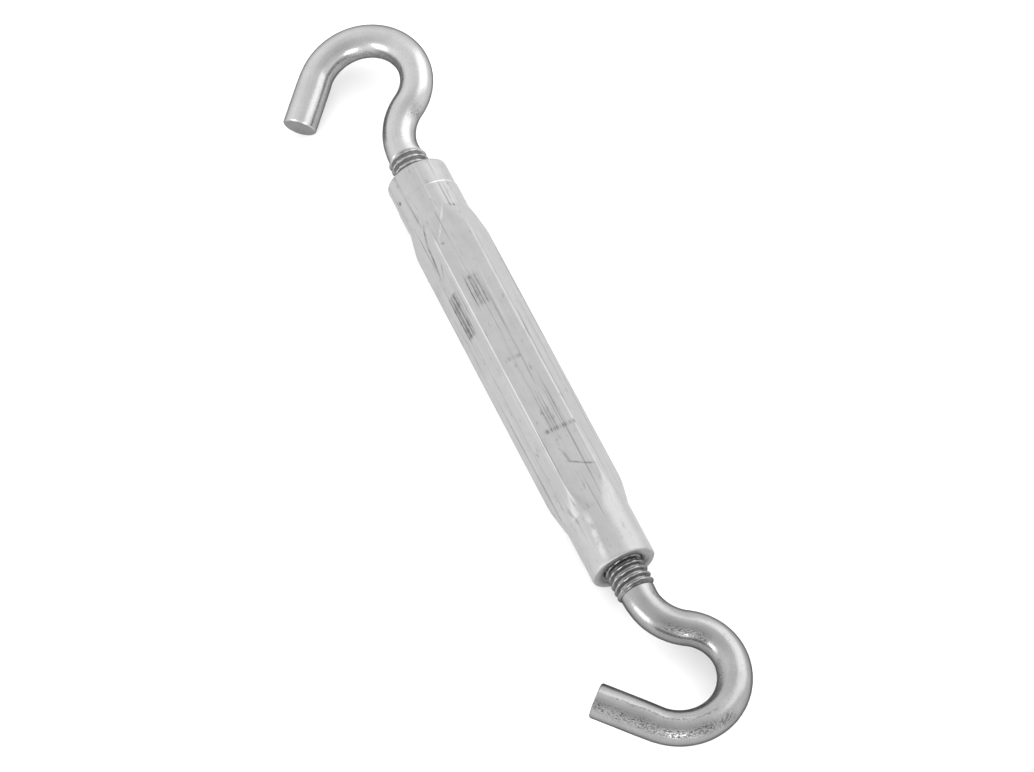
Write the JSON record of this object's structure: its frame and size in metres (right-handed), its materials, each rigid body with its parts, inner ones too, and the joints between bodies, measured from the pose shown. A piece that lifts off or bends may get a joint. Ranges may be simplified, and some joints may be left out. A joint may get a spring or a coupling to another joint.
{
  "type": "rigging turnbuckle",
  "caption": "Closed hexagonal turnbuckle barrel with an open rod hook screwed into each end on opposite-hand threads.",
  "frame": {"origin": "centre of the barrel, on its axis", "axes": "+X along the barrel axis towards the hook with the right-hand thread; +Z is the normal of the barrel's top flat; both hooks open towards -Y"},
  "size_m": [0.2073, 0.0395, 0.016],
  "materials": {
    "barrel_aluminium": "satin, drawn and tumbled, with fine lengthwise scratches",
    "hook_steel": "bright zinc plate, glossy with fine specks",
    "thread_steel": "zinc plate on a rolled thread, darker in the roots"
  },
  "bodies": {
    "barrel": {"barrel": "barrel_aluminium"},
    "left_shank": {"left_shank": "thread_steel"},
    "left_hook": {"left_hook": "hook_steel"},
    "right_shank": {"right_shank": "thread_steel"},
    "right_hook": {"right_hook": "hook_steel"}
  },
  "joints": [
    {"name": "left_hook_travel", "type": "slide", "parent": "barrel", "child": "left_shank", "axis": [-1, 0, 0], "range_m": [-0.0048, 0.0302]},
    {"name": "left_hook_turn", "type": "hinge", "parent": "left_shank", "child": "left_hook", "pos_m": [-0.0575, 0, 0], "axis": [1, 0, 0], "range_deg": [-1080, 6840]},
    {"name": "right_hook_travel", "type": "slide", "parent": "barrel", "child": "right_shank", "axis": [1, 0, 0], "range_m": [-0.0048, 0.0302]},
    {"name": "right_hook_turn", "type": "hinge", "parent": "right_shank", "child": "right_hook", "pos_m": [0.0575, 0, 0], "axis": [1, 0, 0], "range_deg": [-1080, 6840]}
  ],
  "couplings": [
    {"joint": "left_hook_travel", "follows": "left_hook_turn", "m_per_rad": 0.00025266},
    {"joint": "right_hook_travel", "follows": "right_hook_turn", "m_per_rad": 0.00025266}
  ]
}
